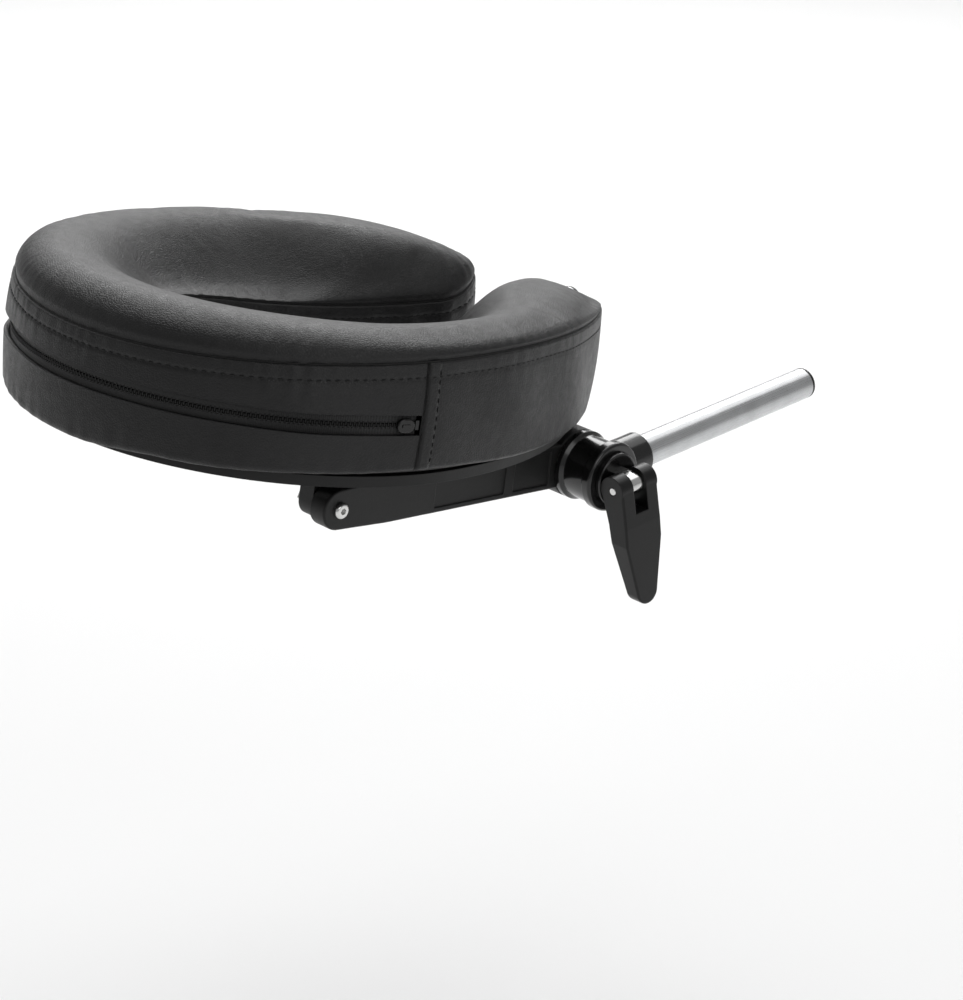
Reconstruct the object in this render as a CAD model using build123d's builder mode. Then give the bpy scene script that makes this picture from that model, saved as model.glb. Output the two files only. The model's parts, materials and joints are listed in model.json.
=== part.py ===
from build123d import *
import os
from math import atan2, asin, cos, degrees, hypot, radians, sin

# Face cradle for the head end of a massage table: a crescent cushion on a U-shaped
# platform, two arms, and a clamp base whose two posts slide into the table.
# Millimetres. The origin is midway between the post axes, in the plane of the table's
# end. +Y runs along the posts into the table, +X to the right facing it, +Z up.

# ---- driving dimensions ----
POST_SPACING = 198.0
POST_R = 9.5
POST_WALL = 2.0
POST_INSERTED = 125.0  # length of post that goes into the table
HUB_TO_TABLE = 58.0  # clamp axis to the table's end face

ARM_LENGTH = 186.0  # clamp axis to front pivot
ARM_RISE_DEG = 9.6
ARM_HEIGHT = 26.0
ARM_INNER_X = 73.0
ARM_OUTER_X = 84.4
ARM_END_R = 11.5
ARM_TAPER = 36.0  # length over which the arm widens from its front end
ARM_WEB = 4.0
ARM_RIM = 3.0
ARM_EDGE = 1.2
ARM_PANELS = ((71.0, 126.0), (133.0, 162.0))  # shallow panels on the outer face
ARM_POCKETS = ((14.0, 68.0), (71.0, 126.0), (129.0, 162.0))  # hollows between ribs inside
PANEL_DEPTH = 0.8
BUSHING_R = 7.0

HUB_R = 20.5
HUB_WAIST_R = 18.6
HUB_INNER_X = 85.5
HUB_LENGTH = 27.0
HUB_RIM = 6.0
HUB_CUP = 3.0  # depth of the recess that holds the cam's saddle
SOCKET_R = 13.0
SOCKET_L = 35.0
POST_START = 8.0
SPIGOT_R = 8.7  # the post is reduced to this where it sits in the socket
SHOULDER_GAP = 1.0  # between the socket's mouth and the post's shoulder
SADDLE_R = 15.5
LOOSE = 0.2  # radial clearance round the rod where nothing turns
SET_SCREW_R = 2.5
SET_SCREW_Y = 26.0
SET_SCREW_HEX_R = 1.5
ROD_R = 4.0
RUNNING = 0.05  # radial clearance of a turning fit
LEVER_PIN_X = 125.0
CAM_R = 8.4
CAM_OFFSET = 0.6  # cam centre is this much nearer the hub than the pin
SADDLE_X = 115.8
LEVER_W = 29.0
LEVER_L = 70.0
LEVER_EDGE = 1.2
LEVER_FACING = 0.9  # the outer faces are those whose normal is this close to +X
NECK_DROP = 21.0  # the handle's side profile, below and outwards of the pin
NECK_INNER_X = -2.1
NECK_OUTER_X = 11.3
HANDLE_INNER_X = 8.6
HANDLE_OUTER_X = 17.2
TAPER_DROP = 32.0  # below this the handle narrows towards its round tip
ROUND_DROP = 64.0
TIP_HALF_W = 8.0
SLOT_W = 10.4
SLOT_DEPTH = 14.0
PIN_R = 2.5
ROD_EYE_W = 9.8
ROD_EYE_R = 6.0
END_NUT_R = 7.5
END_NUT_T = 6.5
END_NUT_DOME_R = 6.0
CAP_L = 14.0
CAP_HEAD = 3.0
CAP_DOME = 1.8

CUSHION_TILT_DEG = 11.0  # the head end is the higher one
CUSHION_BOTTOM_Y = -215.2  # centre of the face hole on the cushion's underside
CUSHION_BOTTOM_Z = 65.6
OUTER_R = 146.0  # round head end of the cushion
HOLE_R = 64.5
TIP_R = 34.0  # rounded ends of the two arms of the crescent
TIP_X = 51.0
TIP_Y = 153.0
SEAM_H = 60.0  # outer top seam above the underside
RIDGE_H = 72.0
RIDGE_INSET = 28.0
LIP_H = 39.0  # inner top seam, round the face hole
DISH_RUN = 52.0  # width of the slope from the inner seam to the ridge
COVER = 1.2  # leatherette thickness
FOAM_GAP = 2.6  # cover and zip tapes between the foam and the outside
CORE_H = 34.0  # base foam, below the memory foam

ZIP_LOW = 22.5
ZIP_HIGH = 32.5
SEAM_ANGLE = 79.0  # vertical seam, from the head end, each side
TAPE_T = 1.0
TAPE_HIDDEN = 6.0  # width of each tape sewn behind the band
COIL_T = 0.8
TAPE_END = 1.0  # degrees between a tape's end and the vertical seam
COIL_H = 5.0
STOP_ANGLE = 78.4
STOP_HALF_ANGLE = 0.4
STOP_T = 1.0
SLIDER_ANGLE = 75.3
SLIDER_L = 10.0
SLIDER_W = 7.4
SLIDER_T = 2.2
SLIDER_CLEAR = 0.15

PLATE_TOP = -2.0  # below the cushion's underside
PLATE_T = 5.0
RIM_T = 3.0
RIM_H = 1.0
PLATE_INSET = 7.0
EAR_INNER_X = 61.0
EAR_OUTER_X = 72.0
EAR_R = 9.0
SCREW_R = 3.0
EAR_FOOT = 30.0  # reach of the ear's foot behind the pivot
SCREW_HEAD_R = 4.6
SCREW_HEAD_T = 2.6
SCREW_DOME = 1.8
HEX_R = 1.9  # socket in the screw's head
WASHER_R = 7.4
NUT_R = 5.6
NUT_T = 5.0
SIDE_GAP = 0.1
LOOP_T = 0.9
HOOK_T = 0.95
STRIP_W = 25.0
STRIP_OUTER_R = 116.0
STRIP_ANGLE = 74.0
STRIP_HALF_ANGLE = 20.0

# ---- places worked out from them ----
HUB_Y = -HUB_TO_TABLE
POST_X = POST_SPACING / 2
TILT = radians(CUSHION_TILT_DEG)
RISE = radians(ARM_RISE_DEG)
PIVOT_Y = HUB_Y - ARM_LENGTH * cos(RISE)
PIVOT_Z = ARM_LENGTH * sin(RISE)
HUB_OUTER_X = HUB_INNER_X + HUB_LENGTH
SIDE_R = ((OUTER_R - TIP_X) ** 2 + TIP_Y**2 - TIP_R**2) / (2 * (OUTER_R - TIP_X - TIP_R))
SIDE_ANGLE = degrees(atan2(TIP_Y, TIP_X - OUTER_R + SIDE_R))
TIP_DISTANCE = hypot(TIP_X, TIP_Y)
INNER_ANGLE = degrees(atan2(TIP_Y, TIP_X)) + degrees(asin((HOLE_R + TIP_R) / TIP_DISTANCE)) - 90

CUSHION = Plane(
    origin=(0, CUSHION_BOTTOM_Y, CUSHION_BOTTOM_Z),
    x_dir=(1, 0, 0),
    z_dir=(0, sin(TILT), cos(TILT)),
)
CLAMP_AXIS = Plane(origin=(0, HUB_Y, 0), x_dir=(0, 1, 0), z_dir=(1, 0, 0))
POST_AXIS = Plane(origin=(POST_X, 0, 0), x_dir=(1, 0, 0), z_dir=(0, 1, 0))
SET_SCREW = Plane(origin=(POST_X, HUB_Y + SET_SCREW_Y, 0))
LEVER_SIDE = Plane(origin=(LEVER_PIN_X, HUB_Y, 0), x_dir=(1, 0, 0), z_dir=(0, -1, 0))
LEVER_FRONT = Plane(origin=(LEVER_PIN_X, HUB_Y, 0), x_dir=(0, 1, 0), z_dir=(1, 0, 0))
FRONT_PIVOT = Plane(origin=(0, PIVOT_Y, PIVOT_Z), x_dir=(0, 1, 0), z_dir=(1, 0, 0))
ARM_SIDE = Plane(origin=(0, PIVOT_Y, PIVOT_Z), x_dir=(0, cos(RISE), -sin(RISE)), z_dir=(1, 0, 0))


def save(builder, name):
    builder.part.label = name
    export_step(builder.part, f"parts/{name}.step")


def right_and_left(build, name):
    """Write a right-hand piece and its mirror image."""
    right = build()
    save(right, f"{name}_right")
    with BuildPart() as left:
        mirror(right.part, about=Plane.YZ)
    save(left, f"{name}_left")


def pair(build, name):
    """Write a right-hand piece and its mirror image as one node of two solids."""
    right = build()
    with BuildPart() as both:
        add(right.part)
        mirror(right.part, about=Plane.YZ)
    save(both, name)


def disc(plane, radius, start, end, mode=Mode.ADD):
    """A round solid, or a bore, along the plane's normal from start to end."""
    with Locations(plane.offset(start)):
        Cylinder(radius, end - start, align=(Align.CENTER, Align.CENTER, Align.MIN), mode=mode)


# ---- cushion outlines, in the cushion's own plane: head end at -y, arms towards +y ----
def direction(angle):
    return Vector(cos(radians(angle)), sin(radians(angle)))


def crescent(grow):
    """The whole crescent, grown outwards by grow."""
    tip = Vector(TIP_X, TIP_Y)
    hole = HOLE_R - grow
    with BuildSketch() as outline:
        with BuildLine():
            head = CenterArc((0, 0), OUTER_R + grow, -90, 90)
            CenterArc((OUTER_R - SIDE_R, 0), SIDE_R + grow, 0, SIDE_ANGLE)
            end = CenterArc(tip, TIP_R + grow, SIDE_ANGLE, 180 + INNER_ANGLE - SIDE_ANGLE)
            Line(end @ 1, direction(INNER_ANGLE) * hole)
            inside = CenterArc((0, 0), hole, INNER_ANGLE, -INNER_ANGLE - 90)
            Line(inside @ 1, head @ 0)
        make_face()
        mirror(about=Plane.YZ)
    return outline.sketch


def outside(grow):
    """The crescent's outer line with the hole and the gap filled in."""
    tip = Vector(TIP_X, TIP_Y)
    with BuildSketch() as outline:
        with BuildLine():
            head = CenterArc((0, 0), OUTER_R + grow, -90, 90)
            CenterArc((OUTER_R - SIDE_R, 0), SIDE_R + grow, 0, SIDE_ANGLE)
            end = CenterArc(tip, TIP_R + grow, SIDE_ANGLE, 90 - SIDE_ANGLE)
            top = Line(end @ 1, (0, TIP_Y + TIP_R + grow))
            Line(top @ 1, head @ 0)
        make_face()
        mirror(about=Plane.YZ)
    return outline.sketch


def inner_space(grow):
    """The hole and the gap between the arms, open past the arms' ends."""
    radius = HOLE_R + grow
    gap = TIP_X - TIP_R + grow
    corner = (radius - gap * cos(radians(INNER_ANGLE))) / sin(radians(INNER_ANGLE))
    past_end = TIP_Y + 2 * TIP_R
    with BuildSketch() as outline:
        with BuildLine():
            inside = CenterArc((0, 0), radius, -90, 90 + INNER_ANGLE)
            slant = Line(inside @ 1, (gap, corner))
            side = Line(slant @ 1, (gap, past_end))
            top = Line(side @ 1, (0, past_end))
            Line(top @ 1, inside @ 0)
        make_face()
        mirror(about=Plane.YZ)
    return outline.sketch


def shoulder(drop):
    """Everything under the surface that rises from the outer seam to the ridge."""
    with BuildPart() as block:
        with BuildSketch(CUSHION):
            add(outside(TIP_R))
        extrude(amount=SEAM_H - drop)
        with BuildSketch(CUSHION.offset(SEAM_H - drop)):
            add(outside(0))
        with BuildSketch(CUSHION.offset(RIDGE_H - drop)):
            add(outside(-RIDGE_INSET))
        loft(ruled=True)
    return block.part


def dish(drop):
    """Everything over the surface that dips from the ridge to the face hole."""
    with BuildPart() as block:
        with BuildSketch(CUSHION.offset(LIP_H - drop)):
            add(inner_space(0))
        with BuildSketch(CUSHION.offset(RIDGE_H - drop)):
            add(inner_space(DISH_RUN))
        loft(ruled=True)
    return block.part


def contoured(grow, bottom, drop):
    """A crescent whose top rises from the outer seam to the ridge and dips to the hole."""
    with BuildPart() as block:
        with BuildSketch(CUSHION.offset(bottom)):
            add(crescent(grow))
        extrude(amount=RIDGE_H - drop - bottom)
        add(shoulder(drop), mode=Mode.INTERSECT)
        add(dish(drop), mode=Mode.SUBTRACT)
    return block.part


def arc_strip(outer, inner, middle, half_angle):
    """A curved strip about the hole's centre; middle is its angle from the head end."""
    start = middle - 90 - half_angle
    with BuildSketch() as strip:
        with BuildLine():
            far = CenterArc((0, 0), outer, start, 2 * half_angle)
            near = CenterArc((0, 0), inner, start, 2 * half_angle)
            Line(far @ 0, near @ 0)
            Line(far @ 1, near @ 1)
        make_face()
    return strip.sketch


def make_cushion():
    with BuildPart() as foam_core:
        with BuildSketch(CUSHION.offset(COVER)):
            add(crescent(-FOAM_GAP))
        extrude(amount=CORE_H - COVER)
    save(foam_core, "foam_core")

    with BuildPart() as memory_foam:
        add(contoured(-FOAM_GAP, CORE_H, COVER))
    save(memory_foam, "memory_foam")

    with BuildPart() as top_panel:
        add(contoured(0, CORE_H, 0))
        add(contoured(0, CORE_H - COVER, COVER), mode=Mode.SUBTRACT)
    save(top_panel, "top_panel")

    with BuildPart() as bottom_panel:
        with BuildSketch(CUSHION):
            add(crescent(0))
        extrude(amount=COVER)
    save(bottom_panel, "bottom_panel")

    with BuildPart() as end_band:
        add(contoured(0, COVER, COVER))
        with BuildSketch(CUSHION):
            add(crescent(-COVER))
        extrude(amount=RIDGE_H, mode=Mode.SUBTRACT)
        with BuildSketch(CUSHION):
            add(arc_strip(OUTER_R + COVER, HOLE_R + RIDGE_INSET, 0, SEAM_ANGLE))
        extrude(amount=RIDGE_H, mode=Mode.SUBTRACT)
    save(end_band, "end_band")

    with BuildPart() as band_lower:
        with BuildSketch(CUSHION.offset(COVER)):
            add(arc_strip(OUTER_R, OUTER_R - COVER, 0, SEAM_ANGLE))
        extrude(amount=ZIP_LOW - COVER)
    save(band_lower, "front_band_lower")

    with BuildPart() as band_upper:
        with BuildSketch(CUSHION.offset(ZIP_HIGH)):
            add(arc_strip(OUTER_R, OUTER_R - COVER, 0, SEAM_ANGLE))
        extrude(amount=SEAM_H - COVER - ZIP_HIGH)
    save(band_upper, "front_band_upper")


def make_zip():
    """The long zip in the slot of the front band: tapes, coil, end stops and slider."""
    middle = (ZIP_LOW + ZIP_HIGH) / 2
    tape_outer = OUTER_R - COVER
    coil_outer = tape_outer + COIL_T
    tapes = {
        "zip_tape_lower": (ZIP_LOW - TAPE_HIDDEN, middle - COIL_H / 4),
        "zip_tape_upper": (middle + COIL_H / 4, ZIP_HIGH + TAPE_HIDDEN),
    }
    for name, (low, high) in tapes.items():
        with BuildPart() as tape:
            with BuildSketch(CUSHION.offset(low)):
                add(arc_strip(tape_outer, tape_outer - TAPE_T, 0, SEAM_ANGLE - TAPE_END))
            extrude(amount=high - low)
        save(tape, name)

    with BuildPart() as coil:
        with BuildSketch(CUSHION.offset(middle - COIL_H / 2)):
            add(arc_strip(coil_outer, tape_outer, 0, STOP_ANGLE))
        extrude(amount=COIL_H)
    save(coil, "zip_coil")

    middle_angle = STOP_ANGLE - STOP_HALF_ANGLE
    with BuildPart() as stops:
        for side in (-1, 1):
            with BuildSketch(CUSHION.offset(middle - COIL_H / 2)):
                add(arc_strip(coil_outer + STOP_T, coil_outer, side * middle_angle, STOP_HALF_ANGLE))
            extrude(amount=COIL_H)
    save(stops, "zip_stops")

    angle = radians(SLIDER_ANGLE)
    outwards = CUSHION.x_dir * sin(angle) - CUSHION.y_dir * cos(angle)
    along = CUSHION.x_dir * cos(angle) + CUSHION.y_dir * sin(angle)
    centre = CUSHION.origin + outwards * (coil_outer + SLIDER_CLEAR) + CUSHION.z_dir * middle
    face = Plane(origin=centre, x_dir=along, z_dir=outwards)
    with BuildPart() as slider:
        with BuildSketch(face):
            SlotOverall(SLIDER_L, SLIDER_W)
        extrude(amount=SLIDER_T)
        fillet(slider.faces().sort_by(Axis(centre, outwards))[-1].edges(), SLIDER_T / 3)
        with BuildSketch(face.offset(SLIDER_T)):
            RectangleRounded(SLIDER_L / 2, SLIDER_W / 4, SLIDER_W / 10)
        extrude(amount=SLIDER_T / 4)
    save(slider, "zip_slider")


def make_fasteners_under_cushion():
    """Loop strips on the cushion and hook strips on the platform."""
    layers = {"loop_strips": (-LOOP_T, 0), "hook_strips": (PLATE_TOP, PLATE_TOP + HOOK_T)}
    for name, (low, high) in layers.items():
        with BuildPart() as strips:
            for middle in (-STRIP_ANGLE, 0, STRIP_ANGLE):
                with BuildSketch(CUSHION.offset(low)):
                    add(arc_strip(STRIP_OUTER_R, STRIP_OUTER_R - STRIP_W, middle, STRIP_HALF_ANGLE))
                extrude(amount=high - low)
        save(strips, name)


# ---- platform ----
def make_platform():
    underside = PLATE_TOP - PLATE_T
    ear_plane = Plane(origin=FRONT_PIVOT.origin, x_dir=CUSHION.y_dir, z_dir=(1, 0, 0))
    ear_top = underside - CUSHION.to_local_coords(FRONT_PIVOT.origin).Z + PLATE_T / 2
    with BuildPart() as platform:
        with BuildSketch(CUSHION.offset(underside)):
            add(crescent(-PLATE_INSET))
        extrude(amount=PLATE_T)
        with BuildSketch(CUSHION.offset(underside - RIM_H)):
            add(crescent(-PLATE_INSET))
            add(crescent(-PLATE_INSET - RIM_T), mode=Mode.SUBTRACT)
        extrude(amount=RIM_H)
        for low_x in (EAR_INNER_X, -EAR_OUTER_X):
            with BuildSketch(ear_plane.offset(low_x)):
                Circle(EAR_R)
                with BuildLine():
                    Polyline((-EAR_R, 0), (-EAR_R, ear_top), (EAR_FOOT, ear_top), (EAR_R, 0), close=True)
                make_face()
            extrude(amount=EAR_OUTER_X - EAR_INNER_X)
        disc(FRONT_PIVOT, SCREW_R, -EAR_OUTER_X, EAR_OUTER_X, Mode.SUBTRACT)
    save(platform, "platform")


def pivot_screw():
    head_x = ARM_OUTER_X + SIDE_GAP
    with BuildPart() as screw:
        disc(FRONT_PIVOT, SCREW_R, EAR_INNER_X - NUT_T, head_x)
        disc(FRONT_PIVOT, SCREW_HEAD_R, head_x, head_x + SCREW_HEAD_T)
        fillet(screw.edges().sort_by(Axis.X)[-1], SCREW_DOME)
        with BuildSketch(FRONT_PIVOT.offset(head_x + SCREW_HEAD_T)):
            RegularPolygon(HEX_R, 6)
        extrude(amount=-SCREW_DOME, mode=Mode.SUBTRACT)
    return screw


def pivot_nut():
    with BuildPart() as nut:
        with BuildSketch(FRONT_PIVOT.offset(EAR_INNER_X - NUT_T)):
            RegularPolygon(NUT_R, 6)
            Circle(SCREW_R, mode=Mode.SUBTRACT)
        extrude(amount=NUT_T)
    return nut


def pivot_washer():
    with BuildPart() as washer:
        disc(FRONT_PIVOT, WASHER_R, EAR_OUTER_X, ARM_INNER_X - RUNNING)
        disc(FRONT_PIVOT, SCREW_R, EAR_OUTER_X, ARM_INNER_X, Mode.SUBTRACT)
    return washer


# ---- arms ----
def arm():
    half = ARM_HEIGHT / 2
    pocket_depth = ARM_OUTER_X - ARM_INNER_X - ARM_WEB
    with BuildPart() as body:
        with BuildSketch(ARM_SIDE.offset(ARM_INNER_X)):
            Circle(ARM_END_R)
            with BuildLine():
                upper = Polyline((0, ARM_END_R), (ARM_TAPER, half), (ARM_LENGTH, half))
                Line(upper @ 1, (ARM_LENGTH, -half))
                Polyline((ARM_LENGTH, -half), (ARM_TAPER, -half), (0, -ARM_END_R), (0, ARM_END_R))
            make_face()
            with Locations((ARM_LENGTH, 0)):
                Circle(HUB_R)
        extrude(amount=ARM_OUTER_X - ARM_INNER_X)
        fillet(body.faces().sort_by(Axis.X)[-1].edges(), ARM_EDGE)
        with BuildSketch(ARM_SIDE.offset(ARM_OUTER_X)):
            for start, end in ARM_PANELS:
                with Locations(((start + end) / 2, 0)):
                    RectangleRounded(end - start, ARM_HEIGHT - 2 * ARM_RIM, ARM_EDGE)
        extrude(amount=-PANEL_DEPTH, mode=Mode.SUBTRACT)
        with BuildSketch(ARM_SIDE.offset(ARM_INNER_X)):
            for start, end in ARM_POCKETS:
                with Locations(((start + end) / 2, 0)):
                    RectangleRounded(end - start, ARM_HEIGHT - 2 * ARM_RIM, ARM_EDGE)
        extrude(amount=pocket_depth, mode=Mode.SUBTRACT)
        disc(CLAMP_AXIS, BUSHING_R, ARM_INNER_X, ARM_OUTER_X, Mode.SUBTRACT)
        disc(FRONT_PIVOT, SCREW_R + RUNNING, ARM_INNER_X, ARM_OUTER_X, Mode.SUBTRACT)
    return body


def arm_bushing():
    with BuildPart() as bushing:
        disc(CLAMP_AXIS, BUSHING_R, ARM_INNER_X, ARM_OUTER_X)
        disc(CLAMP_AXIS, ROD_R + RUNNING, ARM_INNER_X, ARM_OUTER_X, Mode.SUBTRACT)
    return bushing


# ---- clamp base ----
def clamp_hub():
    """A waisted barrel on the clamp axis with a socket for the post."""
    rim_x = HUB_OUTER_X - HUB_RIM
    flange_x = HUB_INNER_X + HUB_RIM / 2
    slope = HUB_R - HUB_WAIST_R
    cup_x = HUB_OUTER_X - HUB_CUP
    cup_r = SADDLE_R + LOOSE
    with BuildPart() as hub:
        with BuildSketch(Plane(origin=(0, HUB_Y, 0))):
            with BuildLine():
                Polyline(
                    (HUB_INNER_X, 0),
                    (HUB_INNER_X, HUB_R),
                    (flange_x, HUB_R),
                    (flange_x + slope, HUB_WAIST_R),
                    (rim_x - slope, HUB_WAIST_R),
                    (rim_x, HUB_R),
                    (HUB_OUTER_X, HUB_R),
                    (HUB_OUTER_X, cup_r),
                    (cup_x, cup_r),
                    (cup_x, 0),
                    close=True,
                )
            make_face()
        revolve(axis=Axis((0, HUB_Y, 0), (1, 0, 0)))
        end_face = hub.faces().filter_by(Axis.X).sort_by(Axis.X)[-1]
        fillet(end_face.edges().sort_by(SortBy.RADIUS)[-1], HUB_RIM / 3)
        disc(POST_AXIS, SOCKET_R, HUB_Y, HUB_Y + SOCKET_L)
        mouth = hub.faces().filter_by(Axis.Y).sort_by(Axis.Y)[-1]
        fillet(mouth.edges(), SOCKET_R / 8)
        disc(CLAMP_AXIS, cup_r, cup_x, HUB_OUTER_X, Mode.SUBTRACT)
        disc(POST_AXIS, SPIGOT_R, HUB_Y + POST_START, HUB_Y + SOCKET_L, Mode.SUBTRACT)
        disc(CLAMP_AXIS, ROD_R + LOOSE, HUB_INNER_X, HUB_OUTER_X, Mode.SUBTRACT)
        disc(SET_SCREW, SET_SCREW_R, -SOCKET_R, 0, Mode.SUBTRACT)
    return hub


def post():
    """A steel tube from the hub's socket into the table, reduced where the socket holds it."""
    start = HUB_Y + POST_START
    shoulder_y = HUB_Y + SOCKET_L + SHOULDER_GAP
    with BuildPart() as tube:
        disc(POST_AXIS, SPIGOT_R, start, shoulder_y)
        disc(POST_AXIS, POST_R, shoulder_y, POST_INSERTED)
        disc(POST_AXIS, SPIGOT_R - POST_WALL, start, shoulder_y, Mode.SUBTRACT)
        disc(POST_AXIS, POST_R - POST_WALL, shoulder_y, POST_INSERTED, Mode.SUBTRACT)
        disc(SET_SCREW, SET_SCREW_R, -POST_R, 0, Mode.SUBTRACT)
    return tube


def post_cap():
    """A plug with a domed head that closes the post's end."""
    with BuildPart() as cap:
        disc(POST_AXIS, POST_R - POST_WALL, POST_INSERTED - CAP_L, POST_INSERTED)
        disc(POST_AXIS, POST_R, POST_INSERTED, POST_INSERTED + CAP_HEAD)
        fillet(cap.edges().sort_by(Axis.Y)[-1], CAP_DOME)
    return cap


def set_screw():
    """Holds the post in its socket, from below."""
    with BuildPart() as screw:
        disc(SET_SCREW, SET_SCREW_R, -SOCKET_R, POST_WALL - SPIGOT_R)
        with BuildSketch(SET_SCREW.offset(-SOCKET_R)):
            RegularPolygon(SET_SCREW_HEX_R, 6)
        extrude(amount=SET_SCREW_R, mode=Mode.SUBTRACT)
    return screw


def friction_washer():
    with BuildPart() as washer:
        disc(CLAMP_AXIS, HUB_R - COVER, ARM_OUTER_X + RUNNING, HUB_INNER_X)
        disc(CLAMP_AXIS, ROD_R + LOOSE, ARM_OUTER_X, HUB_INNER_X, Mode.SUBTRACT)
    return washer


def saddle():
    """The disc in the hub's recess that the clamping force goes through."""
    with BuildPart() as disc_part:
        disc(CLAMP_AXIS, SADDLE_R, HUB_OUTER_X - HUB_CUP, SADDLE_X)
        fillet(disc_part.edges().sort_by(Axis.X)[-1], HUB_CUP / 3)
        disc(CLAMP_AXIS, ROD_R + LOOSE, HUB_OUTER_X - HUB_CUP, SADDLE_X, Mode.SUBTRACT)
    return disc_part


def make_clamp():
    """The rod through both hubs, with its nut, spacer and cam lever."""
    with BuildPart() as rod:
        disc(CLAMP_AXIS, ROD_R, -SADDLE_X - END_NUT_T, SADDLE_X + RUNNING)
        with BuildSketch(LEVER_SIDE.offset(-ROD_EYE_W / 2)):
            Circle(ROD_EYE_R)
            with Locations(((SADDLE_X + RUNNING - LEVER_PIN_X) / 2, 0)):
                Rectangle(LEVER_PIN_X - SADDLE_X - RUNNING, 2 * ROD_EYE_R)
        extrude(amount=ROD_EYE_W)
        disc(LEVER_SIDE, PIN_R, -ROD_EYE_W, ROD_EYE_W, Mode.SUBTRACT)
    save(rod, "tension_rod")

    with BuildPart() as spacer:
        disc(CLAMP_AXIS, BUSHING_R, -ARM_INNER_X + SIDE_GAP, ARM_INNER_X - SIDE_GAP)
        disc(CLAMP_AXIS, ROD_R, -ARM_INNER_X, ARM_INNER_X, Mode.SUBTRACT)
    save(spacer, "spacer_tube")

    with BuildPart() as nut:
        with BuildSketch(CLAMP_AXIS.offset(-SADDLE_X - END_NUT_T)):
            RegularPolygon(END_NUT_R, 6)
            Circle(ROD_R, mode=Mode.SUBTRACT)
        extrude(amount=END_NUT_T)
        disc(CLAMP_AXIS, END_NUT_DOME_R, -SADDLE_X - END_NUT_T - CAP_HEAD, -SADDLE_X - END_NUT_T)
        fillet(nut.edges().sort_by(Axis.X)[0], CAP_DOME)
    save(nut, "end_nut")

    with BuildPart() as pin:
        disc(LEVER_SIDE, PIN_R, -LEVER_W / 2 - SIDE_GAP, LEVER_W / 2 + SIDE_GAP)
        chamfer(pin.edges(), PIN_R / 5)
    save(pin, "lever_pin")


def make_lever():
    """The cam lever: two cheeks on the pin, joined by a handle that tapers to its tip."""
    half = LEVER_W / 2
    with BuildPart() as lever:
        with BuildSketch(LEVER_SIDE.offset(-half)):
            with Locations((-CAM_OFFSET, 0)):
                Circle(CAM_R)
            with BuildLine():
                Polyline(
                    (-CAM_R - CAM_OFFSET, 0),
                    (NECK_INNER_X, -NECK_DROP),
                    (HANDLE_INNER_X, -LEVER_L),
                    (HANDLE_OUTER_X, -LEVER_L),
                    (NECK_OUTER_X, -NECK_DROP),
                    (CAM_R - CAM_OFFSET, 0),
                    close=True,
                )
            make_face()
        extrude(amount=LEVER_W)
        with BuildSketch(LEVER_FRONT):
            with BuildLine():
                right = Polyline(
                    (-half, CAM_R), (half, CAM_R), (half, -TAPER_DROP), (TIP_HALF_W, -ROUND_DROP)
                )
                end = ThreePointArc(right @ 1, (0, -LEVER_L), (-TIP_HALF_W, -ROUND_DROP))
                Polyline(end @ 1, (-half, -TAPER_DROP), (-half, CAM_R))
            make_face()
        extrude(amount=LEVER_W, both=True, mode=Mode.INTERSECT)
        outer = lever.faces().filter_by(lambda face: face.normal_at().X > LEVER_FACING)
        fillet(outer.edges().filter_by(lambda edge: edge.center().X > LEVER_PIN_X + CAM_R), LEVER_EDGE)
        with BuildSketch(LEVER_FRONT):
            slot_height = CAM_R + SLOT_DEPTH
            with Locations((0, CAM_R - slot_height / 2)):
                Rectangle(SLOT_W, slot_height)
        extrude(amount=LEVER_W, both=True, mode=Mode.SUBTRACT)
        disc(LEVER_SIDE, PIN_R + RUNNING, -LEVER_W, LEVER_W, Mode.SUBTRACT)
    save(lever, "cam_lever")


if __name__ == "__main__":
    os.makedirs("parts", exist_ok=True)
    make_cushion()
    make_zip()
    make_fasteners_under_cushion()
    make_platform()
    pair(pivot_screw, "pivot_screws")
    pair(pivot_nut, "pivot_nuts")
    pair(pivot_washer, "pivot_washers")
    right_and_left(arm, "arm")
    pair(arm_bushing, "arm_bushings")
    right_and_left(clamp_hub, "clamp_hub")
    right_and_left(post, "post")
    pair(post_cap, "post_caps")
    pair(set_screw, "set_screws")
    pair(friction_washer, "friction_washers")
    right_and_left(saddle, "clamp_saddle")
    make_clamp()
    make_lever()
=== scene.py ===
import json
from math import cos, pi, radians, sin

import bpy
import numpy as np
from mathutils import Euler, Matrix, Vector
from mathutils.geometry import delaunay_2d_cdt

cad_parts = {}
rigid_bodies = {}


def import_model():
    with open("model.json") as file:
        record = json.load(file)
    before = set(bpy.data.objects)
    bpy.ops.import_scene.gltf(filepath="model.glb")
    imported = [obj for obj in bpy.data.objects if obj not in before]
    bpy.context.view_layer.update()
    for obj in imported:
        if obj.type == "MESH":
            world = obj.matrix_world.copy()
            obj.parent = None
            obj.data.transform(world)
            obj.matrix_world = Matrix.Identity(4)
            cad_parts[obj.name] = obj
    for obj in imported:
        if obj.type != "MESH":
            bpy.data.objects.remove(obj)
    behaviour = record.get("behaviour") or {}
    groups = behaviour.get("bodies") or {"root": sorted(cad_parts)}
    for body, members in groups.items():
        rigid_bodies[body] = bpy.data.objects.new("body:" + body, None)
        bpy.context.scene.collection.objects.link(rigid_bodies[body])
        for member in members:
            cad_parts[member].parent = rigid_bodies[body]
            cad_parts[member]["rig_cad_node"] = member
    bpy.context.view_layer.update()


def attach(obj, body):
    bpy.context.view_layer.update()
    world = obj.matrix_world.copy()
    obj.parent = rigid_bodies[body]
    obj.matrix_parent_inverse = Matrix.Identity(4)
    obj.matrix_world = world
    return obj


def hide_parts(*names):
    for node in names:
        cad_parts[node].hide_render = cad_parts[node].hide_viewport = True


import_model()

MM = 0.001

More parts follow.
